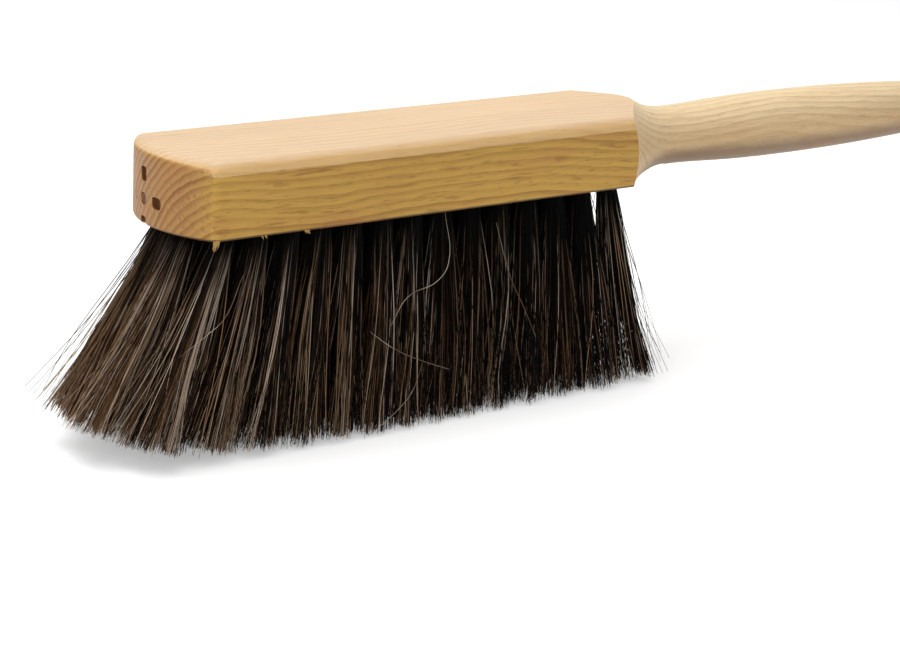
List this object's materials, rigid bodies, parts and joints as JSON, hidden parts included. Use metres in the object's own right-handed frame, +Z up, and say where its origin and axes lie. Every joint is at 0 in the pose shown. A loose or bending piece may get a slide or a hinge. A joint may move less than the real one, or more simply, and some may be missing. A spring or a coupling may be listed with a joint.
{
  "type": "hand brush",
  "caption": "Hand brush with a wooden block, a turned handle of the same piece with a hanging hole, and fanned tufts of dark horsehair for sweeping into a dustpan",
  "frame": {"origin": "halfway along the whole brush, on the block's middle plane, on the floor that the hair tips stand on", "axes": "+X from the toe to the end of the handle, +Y across the brush to the side that the handle's axis lies nearer, +Z up from the hair to the top of the block"},
  "size_m": [0.363, 0.0564, 0.084],
  "materials": {
    "beech": "planed and turned beech, fine sanded, thin clear oil",
    "horsehair": "mixed black, brown, ginger and grey horsehair",
    "staple_wire": "bright drawn wire"
  },
  "bodies": {
    "root": {"block_and_handle": "beech", "tuft_staples": "staple_wire", "tuft_near_01": "horsehair", "tuft_near_02": "horsehair", "tuft_near_03": "horsehair", "tuft_near_04": "horsehair", "tuft_near_05": "horsehair", "tuft_near_06": "horsehair", "tuft_near_07": "horsehair", "tuft_near_08": "horsehair", "tuft_near_09": "horsehair", "tuft_near_10": "horsehair", "tuft_near_11": "horsehair", "tuft_near_12": "horsehair", "tuft_near_13": "horsehair", "tuft_near_14": "horsehair", "tuft_near_inner_01": "horsehair", "tuft_near_inner_02": "horsehair", "tuft_near_inner_03": "horsehair", "tuft_near_inner_04": "horsehair", "tuft_near_inner_05": "horsehair", "tuft_near_inner_06": "horsehair", "tuft_near_inner_07": "horsehair", "tuft_near_inner_08": "horsehair", "tuft_near_inner_09": "horsehair", "tuft_near_inner_10": "horsehair", "tuft_near_inner_11": "horsehair", "tuft_near_inner_12": "horsehair", "tuft_near_inner_13": "horsehair", "tuft_near_inner_14": "horsehair", "tuft_far_inner_01": "horsehair", "tuft_far_inner_02": "horsehair", "tuft_far_inner_03": "horsehair", "tuft_far_inner_04": "horsehair", "tuft_far_inner_05": "horsehair", "tuft_far_inner_06": "horsehair", "tuft_far_inner_07": "horsehair", "tuft_far_inner_08": "horsehair", "tuft_far_inner_09": "horsehair", "tuft_far_inner_10": "horsehair", "tuft_far_inner_11": "horsehair", "tuft_far_inner_12": "horsehair", "tuft_far_inner_13": "horsehair", "tuft_far_inner_14": "horsehair", "tuft_far_01": "horsehair", "tuft_far_02": "horsehair", "tuft_far_03": "horsehair", "tuft_far_04": "horsehair", "tuft_far_05": "horsehair", "tuft_far_06": "horsehair", "tuft_far_07": "horsehair", "tuft_far_08": "horsehair", "tuft_far_09": "horsehair", "tuft_far_10": "horsehair", "tuft_far_11": "horsehair", "tuft_far_12": "horsehair", "tuft_far_13": "horsehair", "tuft_far_14": "horsehair"}
  },
  "joints": []
}
